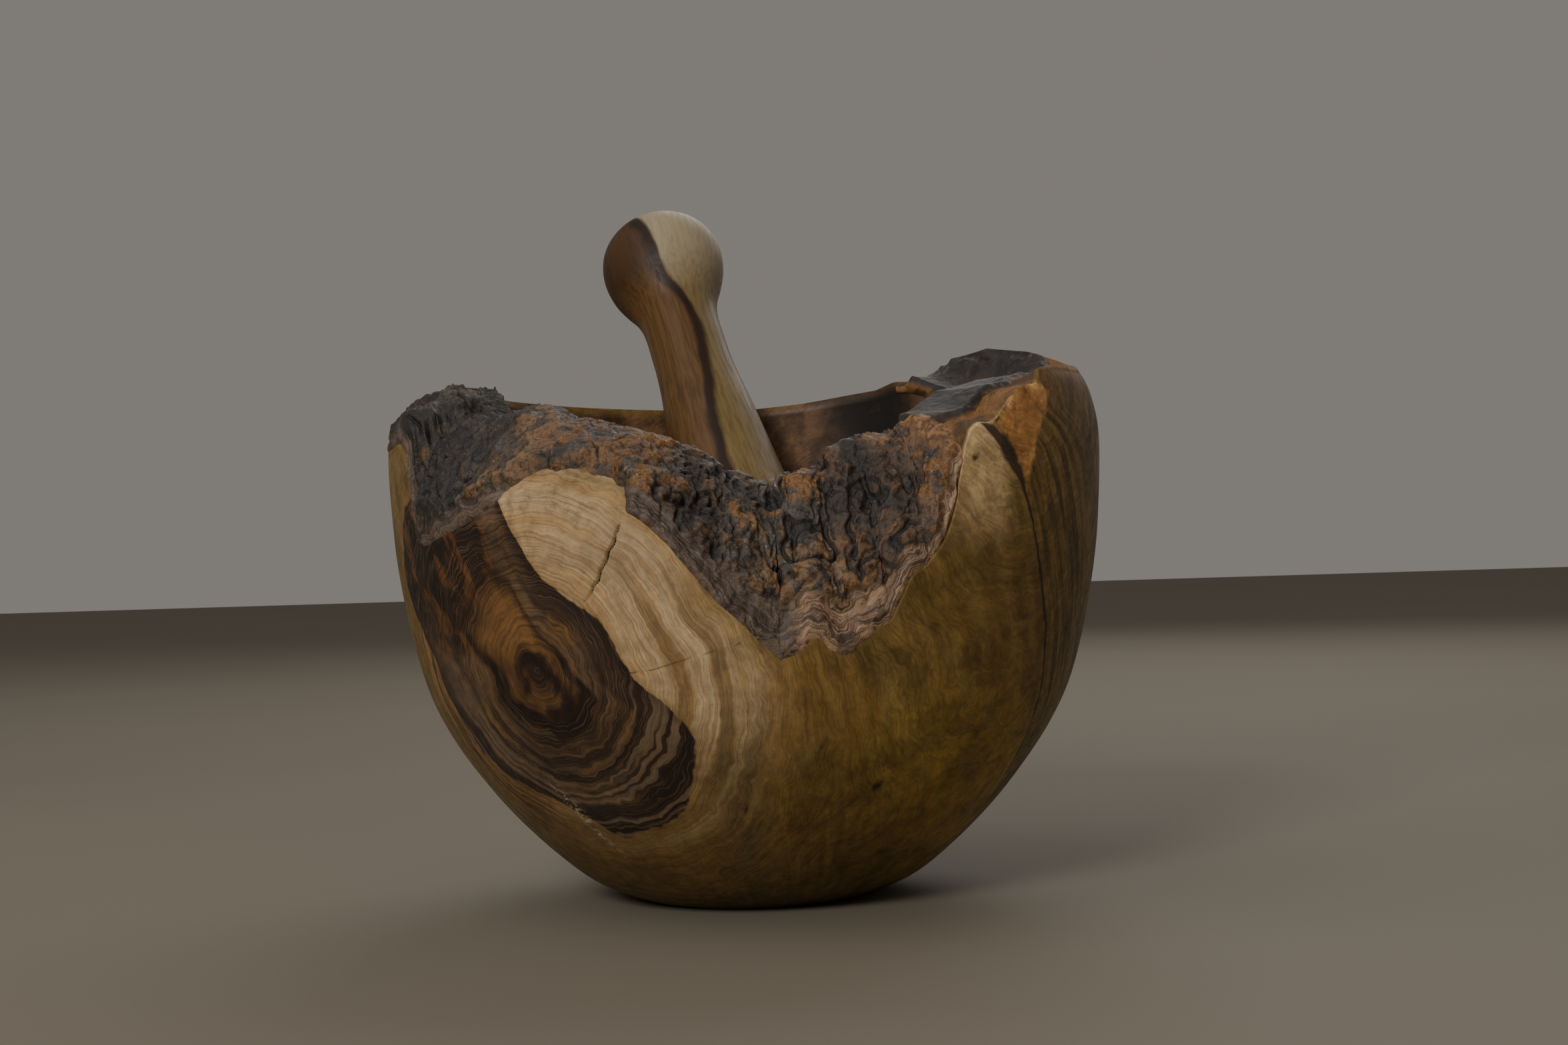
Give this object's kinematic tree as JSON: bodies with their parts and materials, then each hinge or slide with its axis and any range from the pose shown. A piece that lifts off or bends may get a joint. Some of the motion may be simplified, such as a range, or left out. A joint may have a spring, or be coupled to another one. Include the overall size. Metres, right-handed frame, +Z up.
{
  "type": "mortar and pestle",
  "caption": "Turned olive-wood mortar with a natural bark rim and a loose knobbed pestle, for cracking and pounding nuts, garlic and spices",
  "frame": {"origin": "centre of the flat base that the mortar stands on", "axes": "+Z up, -Y towards the deepest dip of the bark rim, which is the front, +X to the right seen from the front"},
  "size_m": [0.1402, 0.1425, 0.145],
  "materials": {
    "olive_wood": "oiled satin",
    "bark": "rough natural",
    "pestle_wood": "oiled satin"
  },
  "bodies": {
    "mortar": {"mortar_bowl": "olive_wood", "front_bark": "bark", "right_bark": "bark", "back_bark": "bark"},
    "pestle": {"pestle": "pestle_wood"}
  },
  "joints": [
    {"name": "pestle_lift", "type": "slide", "parent": "mortar", "child": "pestle", "axis": [0, 0, 1], "range_m": [0, 0.11]}
  ]
}
